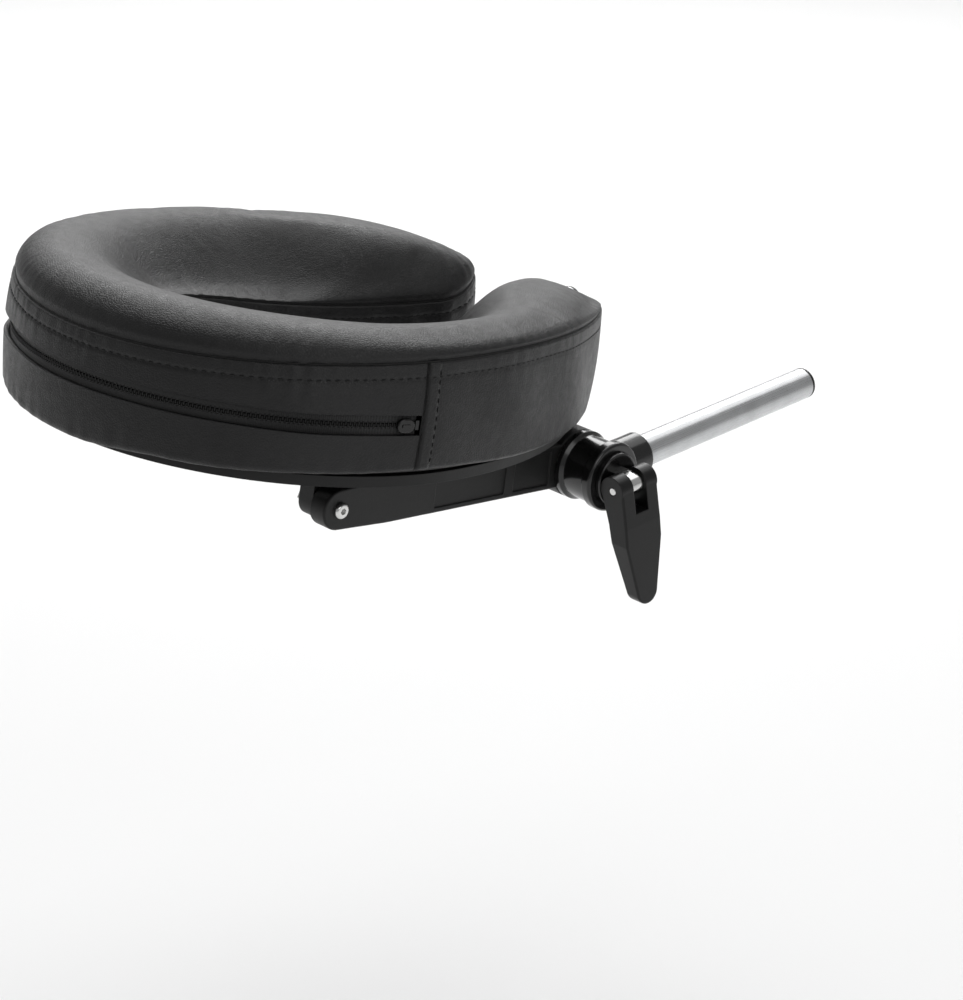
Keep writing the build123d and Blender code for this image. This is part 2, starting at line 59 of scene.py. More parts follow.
# ---- the cushion's own plane, in mm: head end at -y, arms towards +y, z up from its underside ----
TILT = radians(11)
ORIGIN = np.array((0, -215.2, 65.6))  # middle of the hole on the underside, in the object's frame
AXES = np.array(((1, 0, 0), (0, cos(TILT), -sin(TILT)), (0, sin(TILT), cos(TILT))))

# ---- the outline: head-end arc, side arc, tip arc, straight inner side, hole arc ----
OUTER_R = 146.0
SIDE_R = 256.4
SIDE_END = radians(43.47)
TIP = np.array((51.0, 153.0))
TIP_R = 34.0
INNER_END = radians(19.2)  # where the straight inner side meets the hole
HOLE_R = 64.5
OUTLINE_STEP = 2.0
CHUNK = 1500  # points worked on at once, to spare memory

# ---- seams and zip ----
SEAM_S = OUTER_R * radians(79)  # upright seams at the two ends of the zip
SECOND_ROW = 8.0  # stitches beside each upright seam
STITCH_DROP = 8.0  # topstitch below the top seam
OUTER_SEAM = (61.3, 3.3, -6.3)  # the top seam's height at y = 0, its slope and its bend
INNER_SEAM = (36.9, -17.9, 18.4)
SEAM_REACH = 150.0  # the distance that slope and bend are for
ZIP_LOW = 22.5
ZIP_HIGH = 32.5

# ---- the top of the cushion along its length: where, and how high its ridge is ----
RIDGE_Y = (-150, -84, -20, 40, 75, 105, 132, 158, 190)
RIDGE_Z = (74.0, 74.5, 73.5, 72.5, 72.2, 71.5, 69.5, 64.5, 57.0)


def to_world(points):
    """Cushion coordinates in mm to the object's frame in metres."""
    return (ORIGIN + np.asarray(points, float) @ AXES) * MM


def smooth(t):
    t = np.clip(t, 0, 1)
    return t * t * (3 - 2 * t)


def arc_points(centre, radius, start, s, side=1):
    """Points and outward normals at distance s along an arc that starts at an angle."""
    angle = start + side * s / radius
    normal = np.stack((np.cos(angle), np.sin(angle)), -1)
    return np.asarray(centre) + radius * normal, side * normal


HOLE_START = HOLE_R * np.array((cos(INNER_END), sin(INNER_END)))
TIP_FINISH = TIP + TIP_R * np.array((cos(pi + INNER_END), sin(pi + INNER_END)))
LENGTHS = (
    OUTER_R * pi / 2,
    SIDE_R * SIDE_END,
    TIP_R * (pi + INNER_END - SIDE_END),
    float(np.linalg.norm(HOLE_START - TIP_FINISH)),
    HOLE_R * (INNER_END + pi / 2),
)
STARTS = np.concatenate(([0], np.cumsum(LENGTHS)))
HALF = STARTS[-1]
TIP_S = STARTS[2]
IN_S = STARTS[3]


def outline(s):
    """Points and outward normals at distance s from the head end, right side positive."""
    s = np.asarray(s, float)
    a = np.minimum(np.abs(s), HALF)
    parts = (
        arc_points((0, 0), OUTER_R, -pi / 2, a - STARTS[0]),
        arc_points((OUTER_R - SIDE_R, 0), SIDE_R, 0, a - STARTS[1]),
        arc_points(TIP, TIP_R, SIDE_END, a - STARTS[2]),
        (
            TIP_FINISH + np.multiply.outer((a - STARTS[3]) / LENGTHS[3], HOLE_START - TIP_FINISH),
            np.broadcast_to((-cos(INNER_END), -sin(INNER_END)), a.shape + (2,)),
        ),
        arc_points((0, 0), HOLE_R, INNER_END, a - STARTS[4], side=-1),
    )
    which = np.clip(np.searchsorted(STARTS, a, side="right") - 1, 0, len(parts) - 1)
    points, normals = np.zeros(a.shape + (2,)), np.zeros(a.shape + (2,))
    for k, (p, n) in enumerate(parts):
        points[which == k] = p[which == k]
        normals[which == k] = n[which == k]
    flip = np.where(s < 0, -1.0, 1.0)
    points[..., 0] *= flip
    normals[..., 0] *= flip
    return points, normals


def around_outline():
    """Even steps once round the outline, from the middle of the hole and back to it."""
    return np.linspace(-HALF, HALF, int(2 * HALF / OUTLINE_STEP), endpoint=False)


def inwardness(s):
    """0 along the outside, 1 along the hole and the gap, turning over round each tip."""
    return smooth((np.abs(s) - TIP_S) / (IN_S - TIP_S))


def parabola(y, line):
    height, slope, bend = line
    t = y / SEAM_REACH
    return height + slope * t + bend * t * t


def seam_height(s):
    """Height of the top seam: one parabola on the outside, a lower one on the inside."""
    y = outline(s)[0][..., 1]
    w = inwardness(s)
    return (1 - w) * parabola(y, OUTER_SEAM) + w * parabola(y, INNER_SEAM)


def waves(s, seed, shortest, longest, count=14):
    """A repeatable wavering along the seam, mostly between -1.5 and 1.5."""
    rng = np.random.default_rng(seed)
    turns = np.round(2 * HALF / np.exp(rng.uniform(np.log(shortest), np.log(longest), count)))
    phase = rng.uniform(0, 2 * pi, count)
    angle = np.multiply.outer(np.asarray(s, float) / (2 * HALF) * 2 * pi, turns) + phase
    return np.sin(angle).sum(-1) / np.sqrt(count)


def seam_puckers(s):
    """The puckers along the top seam, which the wall and the top panel share."""
    return waves(s, seed=3, shortest=6, longest=20)


def pucker_strength(s):
    return 0.6 + 0.4 * waves(s, seed=5, shortest=60, longest=200, count=5)


def fade(distance, reach):
    """1 where the distance is 0, falling smoothly to nothing over a few times the reach."""
    return np.exp(-(distance / reach) ** 2)


def groove(distance, size):
    depth, width = size
    return -depth * fade(distance, width)


# ---- the wall of the cover, between the top seam and the underside ----
SEAM_GROOVE = (1.3, 0.6)  # depth and width of each groove
STITCH_GROOVE = (0.55, 1.1)
UPRIGHT_GROOVE = (1.2, 0.55)
SECOND_GROOVE = (0.5, 1.0)
BELLY = 1.5  # the wall's bulge, less on the inside
BELLY_LOSS = 0.6
BELLY_POWER = 0.7
FOOT_TUCK = 2.2  # rounding of the lower edge
FOOT_R = 3.0
ALLOWANCE = 0.7  # the seam allowance shows as a raised strip past each upright seam
ALLOWANCE_START = 0.5
ALLOWANCE_RISE = 1.5
ALLOWANCE_END = 9.5
ALLOWANCE_FALL = 2.0
PUCKER = 0.1  # puckers below the top seam and above the lower edge
PUCKER_REACH = 16.0
LOW_PUCKER_REACH = 9.0
ZIP_PUCKER = 0.15  # and how much more there is of each on the side with the zip
LOW_ZIP_PUCKER = 0.12
ZIP_BLEND = 30.0
CREASE = 0.8  # upright creases inside the hole
CREASE_SLANT = 0.35
SOFTNESS = 0.8  # slow waver of the whole wall
SOFT_SLANT = 0.5


def wall_offset(s, z, height):
    """How far the wall stands out from the outline at height z."""
    w = inwardness(s)
    t = np.clip(z / height, 0, 1)
    arch = np.sin(pi * t)
    belly = (BELLY - BELLY_LOSS * w) * arch ** BELLY_POWER
    seam = groove(height - z, SEAM_GROOVE)
    turn = 1 - np.clip(z / FOOT_R, 0, 1)
    foot = -FOOT_TUCK * (1 - np.sqrt(np.clip(1 - turn ** 2, 0, 1)))
    stitch = groove(height - STITCH_DROP - z, STITCH_GROOVE)
    past = np.abs(s) - SEAM_S
    upright = groove(past, UPRIGHT_GROOVE)
    rise = smooth((past - ALLOWANCE_START) / ALLOWANCE_RISE)
    allowance = ALLOWANCE * rise * smooth((ALLOWANCE_END - past) / ALLOWANCE_FALL)
    second = groove(past - SECOND_ROW, SECOND_GROOVE)
    zip_side = smooth((ZIP_BLEND - past) / (2 * ZIP_BLEND))
    pull = fade(height - z, PUCKER_REACH)
    high = (PUCKER + ZIP_PUCKER * zip_side) * seam_puckers(s) * pull * pucker_strength(s)
    low_waves = waves(s, seed=7, shortest=9, longest=30)
    low = (PUCKER + LOW_ZIP_PUCKER * zip_side) * low_waves * fade(z, LOW_PUCKER_REACH)
    crease = w ** 4 * CREASE * waves(s + CREASE_SLANT * z, seed=9, shortest=14, longest=40) * arch
    soft = SOFTNESS * waves(s + SOFT_SLANT * z, seed=11, shortest=60, longest=220, count=6) * arch
    return belly + seam + foot + stitch + upright + allowance + second + high + low + crease + soft


DROOP = 3.0  # round the head end and along the left side
DROOP_ENDS = (-380.0, 160.0)
DROOP_BLEND = 90.0
LEFT_DROOP = 3.6  # this much more to the left of the head end's middle
LEFT_DROOP_START = 70.0
LEFT_DROOP_BLEND = 60.0
STAND_OFF = 2.6
STAND_OFF_S = 215.0
STAND_OFF_REACH = 50.0
SOFT_EDGE = 20.0  # height over which the lift dies out up the wall


def foot_lift(s):
    """The soft edge hangs a little over the platform's rim, and stands off it on the right."""
    start, end = DROOP_ENDS
    droop = DROOP + LEFT_DROOP * smooth((LEFT_DROOP_START - s) / LEFT_DROOP_BLEND)
    droop = droop * smooth((end - s) / DROOP_BLEND) * smooth((s - start) / DROOP_BLEND)
    return STAND_OFF * fade(s - STAND_OFF_S, STAND_OFF_REACH) - droop


def wall_point(s, z):
    """Points on the outside of the wall at distance s and height z."""
    s, z = np.broadcast_arrays(np.asarray(s, float), np.asarray(z, float))
    height = seam_height(s)
    points, normals = outline(s)
    out = wall_offset(s, z, height)
    flat = points + normals * out[..., None]
    raised = z + foot_lift(s) * np.clip(1 - z / SOFT_EDGE, 0, 1)
    return np.concatenate((flat, raised[..., None]), -1)


# ---- helpers that make meshes ----
def make_object(name, points, faces, material, body="cushion"):
    """A smooth-shaded mesh from cushion coordinates, riding on a body."""
    mesh = bpy.data.meshes.new(name)
    mesh.from_pydata([tuple(p) for p in to_world(points)], [], faces)
    mesh.validate()
    mesh.update()
    mesh.polygons.foreach_set("use_smooth", [True] * len(mesh.polygons))
    obj = bpy.data.objects.new(name, mesh)
    bpy.context.scene.collection.objects.link(obj)
    mesh.materials.append(material)
    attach(obj, body)
    return obj


def grid_faces(rows, columns):
    faces = []
    for r in range(rows - 1):
        for c in range(columns - 1):
            here = r * columns + c
            above = here + columns
            faces.append((here, here + 1, above + 1, above))
    return faces


WALL_STEP = 1.7  # spacing of the wall's columns
FINE_STEP = 0.4  # and close to its upright seams and their stitches
SEAM_FINE = 2.4
ROW_FINE = 2.0


def columns_between(start, end):
    """Positions along the wall, closer together beside an upright seam."""
    s = np.linspace(start, end, int(abs(end - start) / WALL_STEP) + 1)
    extra = []
    for side in (-1, 1):
        for centre, reach in ((side * SEAM_S, SEAM_FINE), (side * (SEAM_S + SECOND_ROW), ROW_FINE)):
            extra.extend(np.arange(centre - reach, centre + reach + 0.01, FINE_STEP))
    extra = [e for e in extra if start < e < end]
    return np.unique(np.round(np.concatenate((s, extra)), 4))


WALL_ROWS = 44
USUAL_WALL = 60.0  # the rows close to an edge are spaced for a wall this high
EDGE_ROWS = np.array((0.0, 0.35, 0.8, 1.3, 1.9, 2.6, 3.5, 4.6))
FOLD = ((3.4, 0.7), (2.4, 0.1), (1.2, 0.0), (0.35, 0.25))  # inset and height of each row
FOLD_SHARE = 0.02  # the part of a band's height that its fold takes the place of


def band(name, s, low, high, material, fold_low=False, fold_high=False):
    """A strip of cover from low(s) to high(s), where a fold turns an edge in."""
    top, bottom = high(s), low(s)
    rows = []
    if fold_low:
        for inset, up in FOLD:
            rows.append((wall_point(s, bottom + up), inset))
    close = EDGE_ROWS / USUAL_WALL
    fractions = np.unique(np.concatenate((np.linspace(0, 1, WALL_ROWS), close, 1 - close)))
    for f in fractions:
        if fold_low and f < FOLD_SHARE or fold_high and f > 1 - FOLD_SHARE:
            continue
        rows.append((wall_point(s, bottom + (top - bottom) * f), 0.0))
    if fold_high:
        for inset, down in reversed(FOLD):
            rows.append((wall_point(s, top - down), inset))
    normals = outline(s)[1]
    points = []
    for p, inset in rows:
        p[:, :2] -= normals * inset
        points.append(p)
    return make_object(name, np.concatenate(points), grid_faces(len(rows), len(s)), material)


ROW_SHARE = 0.866  # rows of equal triangles are this much of their spacing apart
INSIDE_ONLY = 1  # the triangulation keeps only what lies inside the outline


def crescent_mesh(rings, spacing, reach):
    """A flat mesh of the crescent: rings along the outline, then an even net from reach inwards."""
    points, normals = outline(around_outline())
    loops = [points - normals * inset for inset in rings]
    rows = np.arange(-OUTER_R, TIP[1] + TIP_R, spacing * ROW_SHARE)
    net = []
    for k, y in enumerate(rows):
        x = np.arange(-OUTER_R, OUTER_R, spacing) + (k % 2) * spacing / 2
        net.append(np.stack((x, np.full_like(x, y)), -1))
    net = np.concatenate(net)
    inside, distance = measure(net, points)
    net = net[inside & (distance > reach)]
    flat = np.concatenate(loops + [net])
    boundary = list(range(len(points)))
    result = delaunay_2d_cdt([Vector(p) for p in flat], [], [boundary], INSIDE_ONLY, 1e-5)
    return np.array([tuple(v) for v in result[0]]), [tuple(f) for f in result[2]]


def measure(flat, points):
    """Whether each point lies inside the closed outline, and how far it is from it."""
    following = np.roll(points, -1, 0)
    inside = np.zeros(len(flat), bool)
    distance = np.zeros(len(flat))
    for start in range(0, len(flat), CHUNK):
        p = flat[start:start + CHUNK]
        a, b = points[None], following[None]
        crosses = (a[..., 1] > p[:, None, 1]) != (b[..., 1] > p[:, None, 1])
        slope = np.where(crosses, b[..., 1] - a[..., 1], 1)
        x = a[..., 0] + (p[:, None, 1] - a[..., 1]) / slope * (b[..., 0] - a[..., 0])
        inside[start:start + CHUNK] = (crosses & (p[:, None, 0] < x)).sum(1) % 2 == 1
        gap = ((p[:, None] - a) ** 2).sum(-1)
        distance[start:start + CHUNK] = np.sqrt(gap.min(1))
    return inside, distance


NEAR_SEAM = 14.0  # up to here the distance is taken square to the seam


def spread(flat):
    """For each point, seven values that it takes from the seam round it.

    0 distance from the seam, 1 inwardness and 2 seam height blended from all round,
    3 place along the nearest seam, 4 and 5 its normal, 6 its height.
    """
    s = around_outline()
    points, normals = outline(s)
    carried = np.stack((inwardness(s), seam_height(s)), -1)
    out = np.zeros((len(flat), 7))
    for start in range(0, len(flat), CHUNK):
        p = flat[start:start + CHUNK]
        gap = ((p[:, None] - points[None]) ** 2).sum(-1)
        near = gap.argmin(1)
        weight = 1 / (gap + 0.02)
        weight /= weight.sum(1, keepdims=True)
        away = p - points[near]
        depth = -(away * normals[near]).sum(-1)
        nearest = np.sqrt(gap.min(1))
        distance = np.where(nearest < NEAR_SEAM, depth, nearest)
        block = out[start:start + CHUNK]
        block[:, 0] = np.clip(distance, 0, None)
        block[:, 1:3] = weight @ carried
        block[:, 3] = s[near]
        block[:, 4:6] = normals[near]
        block[:, 6] = seam_height(s)[near]
    return out


# ---- the top panel ----
RIDGE_BLUR = np.linspace(-18, 18, 13)  # the ridge's corners are rounded over this length
BASE_BLEND = 6.0  # the seam's own height gives way to the blended one over this distance
DOME_START = 45.0  # the dish runs out into a dome from here towards the arms' ends
DOME_LENGTH = 75.0
DISH_EDGE = 3.2  # the dish ends this far above the inner seam, and higher in the dome
DOME_EDGE = 12.0
DISH_START = 0.27  # inwardness at which the ridge starts to fall, and over how much of it
DISH_SPAN = 0.68
DOME_SHIFT = 0.28  # both change in the dome
DOME_SPAN_LOSS = 0.2
LEAST_RISE = 1.2  # the panel's middle above its seam
SHOULDER = 30.0  # width of the rounded edge on the outside, less on the inside
SHOULDER_LOSS = 17.0
SHOULDER_TURN = 1.3  # how soon it narrows, and how much less it does in the dome
DOME_WIDENING = 0.6
TOP_PUCKER = 0.3
TOP_PUCKER_REACH = 15.0
TOP_PUCKER_START = 3.0
HUMPS = 0.4  # slow unevenness of the foam
HUMP_LENGTHS = (23.0, 29.0)
HUMP_PHASES = (1.3, 0.4)
HUMP_START = 20.0
EDGE_BULGE = 0.2  # the panel stands out a little past its seam
EDGE_BULGE_REACH = 3.0
SEAM_TUCK = 1.4  # and its very edge goes in to the seam
SEAM_TUCK_REACH = 0.4


def top_surface(flat):
    """The top panel over each flat point: a rounded edge, a ridge and a dish down to the hole."""
    data = spread(flat)
    d, w, base, s = data[:, 0], data[:, 1], data[:, 2], data[:, 3]
    normal, edge = data[:, 4:6], data[:, 6]
    y = flat[:, 1]
    base = edge + (base - edge) * np.clip(d / BASE_BLEND, 0, 1)
    ridge = np.interp(y[:, None] + RIDGE_BLUR, RIDGE_Y, RIDGE_Z).mean(1)
    dome = smooth((y - DOME_START) / DOME_LENGTH)
    floor = np.minimum(parabola(y, INNER_SEAM) + DISH_EDGE + DOME_EDGE * dome, ridge)
    fall = smooth((w - DISH_START - DOME_SHIFT * dome) / (DISH_SPAN - DOME_SPAN_LOSS * dome))
    middle = np.maximum(ridge - (ridge - floor) * fall, base + LEAST_RISE)
    narrowing = smooth(w * SHOULDER_TURN) * (1 - DOME_WIDENING * dome)
    reach = SHOULDER - SHOULDER_LOSS * narrowing
    q = np.clip(d / reach, 0, 1)
    z = base + np.sqrt(1 - (1 - q) ** 2) * (middle - base)
    pull = fade(d, TOP_PUCKER_REACH) * smooth(d / TOP_PUCKER_START)
    z = z + TOP_PUCKER * seam_puckers(s) * pull * pucker_strength(s)
    across = np.sin(flat[:, 0] / HUMP_LENGTHS[0] + HUMP_PHASES[0])
    along = np.sin(y / HUMP_LENGTHS[1] + HUMP_PHASES[1])
    z = z + HUMPS * across * along * smooth(d / HUMP_START)
    inset = -EDGE_BULGE * d * fade(d, EDGE_BULGE_REACH) + SEAM_TUCK * fade(d, SEAM_TUCK_REACH)
    moved = flat - normal * inset[:, None]
    return np.concatenate((moved, z[:, None]), -1)


CLOTH_CAP = 1.6  # most that the simulated fabric may move
CLOTH_FRAMES = 20
CARRY_REACH = 3.2


def fabric_fullness():
    """Cloth simulation of the top panel, pinned at its seam and pressed out by the foam.

    Returns the start points and how far each one moved, in cushion coordinates.
    """
    flat, faces = crescent_mesh((0.0, 4.0), spacing=5.0, reach=6.5)
    start = top_surface(flat)
    mesh = bpy.data.meshes.new("cloth_form")
    mesh.from_pydata([tuple(p) for p in to_world(start)], [], faces)
    mesh.update()
    form = bpy.data.objects.new("cloth_form", mesh)
    bpy.context.scene.collection.objects.link(form)
    held = form.vertex_groups.new(name="seam")
    at_seam = spread(flat)[:, 0] < 1.0
    held.add([int(i) for i in np.flatnonzero(at_seam)], 1.0, "REPLACE")
    cloth = form.modifiers.new("cloth", "CLOTH")
    settings = cloth.settings
    settings.quality = 6
    settings.mass = 0.3
    settings.tension_stiffness = 25
    settings.compression_stiffness = 25
    settings.shear_stiffness = 12
    settings.bending_stiffness = 0.4
    settings.shrink_min = -0.025
    settings.use_pressure = True
    settings.uniform_pressure_force = 4
    settings.vertex_group_mass = "seam"
    settings.effector_weights.gravity = 0
    scene = bpy.context.scene
    for step in range(1, CLOTH_FRAMES + 1):
        scene.frame_set(step)
    ready = form.evaluated_get(bpy.context.evaluated_depsgraph_get()).to_mesh()
    after = np.array([tuple(v.co) for v in ready.vertices])
    scene.frame_set(1)
    bpy.data.objects.remove(form)
    moved = (after - to_world(start)) / MM @ AXES.T
    length = np.linalg.norm(moved, axis=1, keepdims=True) + 1e-9
    return flat, moved * CLOTH_CAP * np.tanh(length / CLOTH_CAP) / length


def carry(flat, known, values):
    """Values at scattered points, carried smoothly to other points."""
    out = np.zeros((len(flat), values.shape[1]))
    for start in range(0, len(flat), CHUNK):
        gap = ((flat[start:start + CHUNK, None] - known[None]) ** 2).sum(-1)
        weight = np.exp(-gap / (2 * CARRY_REACH ** 2)) + 1e-12
        out[start:start + CHUNK] = weight @ values / weight.sum(1, keepdims=True)
    return out


# ---- materials ----
def new_material(name):
    """A new material, its nodes, its links and its main shader."""
    material = bpy.data.materials.new(name)
    material.use_nodes = True
    nodes = material.node_tree.nodes
    shader = next(n for n in nodes if n.type == "BSDF_PRINCIPLED")
    return material, nodes, material.node_tree.links, shader


def node(nodes, kind, **values):
    """A new node; each value goes to the input or the property of that name."""
    made = nodes.new(kind)
    for key, value in values.items():
        if key in made.inputs:
            made.inputs[key].default_value = value
        else:
            setattr(made, key, value)
    return made


def rgba(value):
    """A grey level or a colour, made opaque."""
    return (*np.broadcast_to(value, 3).tolist(), 1)


def ramp(nodes, links, source, low, high, first, second):
    """The source's values from low to high, turned into the two greys or colours."""
    made = nodes.new("ShaderNodeValToRGB")
    made.color_ramp.elements[0].position = low
    made.color_ramp.elements[1].position = high
    made.color_ramp.elements[0].color = rgba(first)
    made.color_ramp.elements[1].color = rgba(second)
    links.new(source, made.inputs["Fac"])
    return made.outputs["Color"]


def leather(name, dark, light, rough, grain=0.27):
    """Fine-grained PU leather: pebbled cells with painted shade in their crevices, pores and a slow
    variation in colour and shine.
    """
    material, nodes, links, shader = new_material(name)
    place = nodes.new("ShaderNodeTexCoord").outputs["Object"]
    cells = node(nodes, "ShaderNodeTexVoronoi", Scale=760.0, feature="DISTANCE_TO_EDGE")
    fine = node(nodes, "ShaderNodeTexNoise", Scale=1500.0, Detail=4.0, Roughness=0.6)
    wander = node(nodes, "ShaderNodeTexNoise", Scale=160.0, Detail=3.0, Roughness=0.55)
    slow = node(nodes, "ShaderNodeTexNoise", Scale=14.0, Detail=3.0, Roughness=0.5)
    for n in (fine, wander, slow):
        links.new(place, n.inputs["Vector"])
    warp = nodes.new("ShaderNodeVectorMath")
    warp.operation = "MULTIPLY_ADD"
    warp.inputs[1].default_value = (0.0018, 0.0018, 0.0018)
    links.new(wander.outputs["Color"], warp.inputs[0])
    links.new(place, warp.inputs[2])
    links.new(warp.outputs["Vector"], cells.inputs["Vector"])
    pebble = ramp(nodes, links, cells.outputs["Distance"], 0.0, 0.22, 0.0, 1.0)
    tone = ramp(nodes, links, slow.outputs["Fac"], 0.3, 0.7, dark, light)
    # painted shade: the colour is darkened along the pebble cells' edges, in the grain's crevices
    crevice_painted_shade = node(nodes, "ShaderNodeMix", data_type="RGBA", blend_type="MULTIPLY")
    crevice_painted_shade.inputs["Factor"].default_value = 0.35
    links.new(tone, crevice_painted_shade.inputs["A"])
    links.new(pebble, crevice_painted_shade.inputs["B"])
    links.new(crevice_painted_shade.outputs["Result"], shader.inputs["Base Color"])
    shine = ramp(nodes, links, wander.outputs["Fac"], 0.25, 0.8, rough - 0.05, rough + 0.08)
    links.new(shine, shader.inputs["Roughness"])
    bump = node(nodes, "ShaderNodeBump", Strength=grain, Distance=0.0007)
    links.new(pebble, bump.inputs["Height"])
    second = node(nodes, "ShaderNodeBump", Strength=grain * 0.5, Distance=0.0002)
    links.new(fine.outputs["Fac"], second.inputs["Height"])
    links.new(bump.outputs["Normal"], second.inputs["Normal"])
    third = node(nodes, "ShaderNodeBump", Strength=0.22, Distance=0.0010)
    links.new(wander.outputs["Fac"], third.inputs["Height"])
    links.new(second.outputs["Normal"], third.inputs["Normal"])
    links.new(third.outputs["Normal"], shader.inputs["Normal"])
    shader.inputs["Specular IOR Level"].default_value = 0.38
    return material


def plastic(name, dark, light, rough, texture=0.25, scale=900.0, coat=0.0, edge=0.0006):
    """Moulded plastic: fine spark-eroded texture, faint colour variation and softened edges."""
    material, nodes, links, shader = new_material(name)
    place = nodes.new("ShaderNodeTexCoord").outputs["Object"]
    fine = node(nodes, "ShaderNodeTexNoise", Scale=scale, Detail=3.0, Roughness=0.6)
    slow = node(nodes, "ShaderNodeTexNoise", Scale=38.0, Detail=4.0, Roughness=0.6)
    for n in (fine, slow):
        links.new(place, n.inputs["Vector"])
    tone = ramp(nodes, links, slow.outputs["Fac"], 0.3, 0.7, dark, light)
    links.new(tone, shader.inputs["Base Color"])
    shine = ramp(nodes, links, slow.outputs["Fac"], 0.3, 0.75, rough - 0.04, rough + 0.07)
    links.new(shine, shader.inputs["Roughness"])
    soft_edge = node(nodes, "ShaderNodeBevel", Radius=edge)
    bump = node(nodes, "ShaderNodeBump", Strength=texture, Distance=0.0002)
    links.new(fine.outputs["Fac"], bump.inputs["Height"])
    links.new(soft_edge.outputs["Normal"], bump.inputs["Normal"])
    links.new(bump.outputs["Normal"], shader.inputs["Normal"])
    shader.inputs["Coat Weight"].default_value = coat
    shader.inputs["Specular IOR Level"].default_value = 0.32
    shader.inputs["Coat Roughness"].default_value = 0.12
    return material


def metal(name, colour, rough, stretch=(60.0, 60.0, 2600.0), scratch=0.12):
    """Bright metal with fine turned or drawn lines and a slight tarnish."""
    material, nodes, links, shader = new_material(name)
    place = nodes.new("ShaderNodeTexCoord").outputs["Object"]
    mapping = nodes.new("ShaderNodeMapping")
    mapping.inputs["Scale"].default_value = stretch
    links.new(place, mapping.inputs["Vector"])
    lines = node(nodes, "ShaderNodeTexNoise", Scale=1.0, Detail=3.0, Roughness=0.6)
    slow = node(nodes, "ShaderNodeTexNoise", Scale=55.0, Detail=3.0, Roughness=0.5)
    links.new(mapping.outputs["Vector"], lines.inputs["Vector"])
    links.new(place, slow.inputs["Vector"])
    dull = tuple(c * 0.82 for c in colour)
    tone = ramp(nodes, links, slow.outputs["Fac"], 0.3, 0.7, dull, colour)
    links.new(tone, shader.inputs["Base Color"])
    shine = ramp(nodes, links, lines.outputs["Fac"], 0.3, 0.75, rough - 0.06, rough + 0.1)
    links.new(shine, shader.inputs["Roughness"])
    bump = node(nodes, "ShaderNodeBump", Strength=scratch, Distance=0.0001)
    links.new(lines.outputs["Fac"], bump.inputs["Height"])
    soft_edge = node(nodes, "ShaderNodeBevel", Radius=0.0003)
    links.new(soft_edge.outputs["Normal"], bump.inputs["Normal"])
    links.new(bump.outputs["Normal"], shader.inputs["Normal"])
    shader.inputs["Metallic"].default_value = 1.0
    return material


def woven(name, dark, light, pitch, rough=0.8, sheen=0.25):
    """Woven tape: over-and-under threads from two crossed waves, with loose fibre noise."""
    material, nodes, links, shader = new_material(name)
    place = nodes.new("ShaderNodeTexCoord").outputs["Object"]
    heights = []
    for direction in ("X", "Z"):
        wave = node(nodes, "ShaderNodeTexWave", Scale=1 / pitch / 2, Distortion=0.4, Detail=1.0)
        wave.bands_direction = direction
        links.new(place, wave.inputs["Vector"])
        heights.append(wave.outputs["Fac"])
    cross = nodes.new("ShaderNodeMath")
    cross.operation = "MULTIPLY"
    links.new(heights[0], cross.inputs[0])
    links.new(heights[1], cross.inputs[1])
    fibre = node(nodes, "ShaderNodeTexNoise", Scale=2400.0, Detail=3.0)
    links.new(place, fibre.inputs["Vector"])
    tone = ramp(nodes, links, cross.outputs["Value"], 0.1, 0.7, dark, light)
    links.new(tone, shader.inputs["Base Color"])
    shine = ramp(nodes, links, fibre.outputs["Fac"], 0.3, 0.7, rough - 0.1, rough + 0.1)
    links.new(shine, shader.inputs["Roughness"])
    bump = node(nodes, "ShaderNodeBump", Strength=0.6, Distance=0.0003)
    links.new(cross.outputs["Value"], bump.inputs["Height"])
    second = node(nodes, "ShaderNodeBump", Strength=0.4, Distance=0.0001)
    links.new(fibre.outputs["Fac"], second.inputs["Height"])
    links.new(bump.outputs["Normal"], second.inputs["Normal"])
    links.new(second.outputs["Normal"], shader.inputs["Normal"])
    shader.inputs["Sheen Weight"].default_value = sheen
    return material


def foam(name, dark, light, cell):
    """Open-cell foam, with cells of the size given in metres."""
    material, nodes, links, shader = new_material(name)
    place = nodes.new("ShaderNodeTexCoord").outputs["Object"]
    cells = node(nodes, "ShaderNodeTexVoronoi", Scale=1 / cell)
    links.new(place, cells.inputs["Vector"])
    tone = ramp(nodes, links, cells.outputs["Distance"], 0.1, 0.6, dark, light)
    links.new(tone, shader.inputs["Base Color"])
    bump = node(nodes, "ShaderNodeBump", Strength=0.7, Distance=0.0005)
    links.new(cells.outputs["Distance"], bump.inputs["Height"])
    links.new(bump.outputs["Normal"], shader.inputs["Normal"])
    shader.inputs["Roughness"].default_value = 0.9
    return material


def grey(level):
    return (level,) * 3


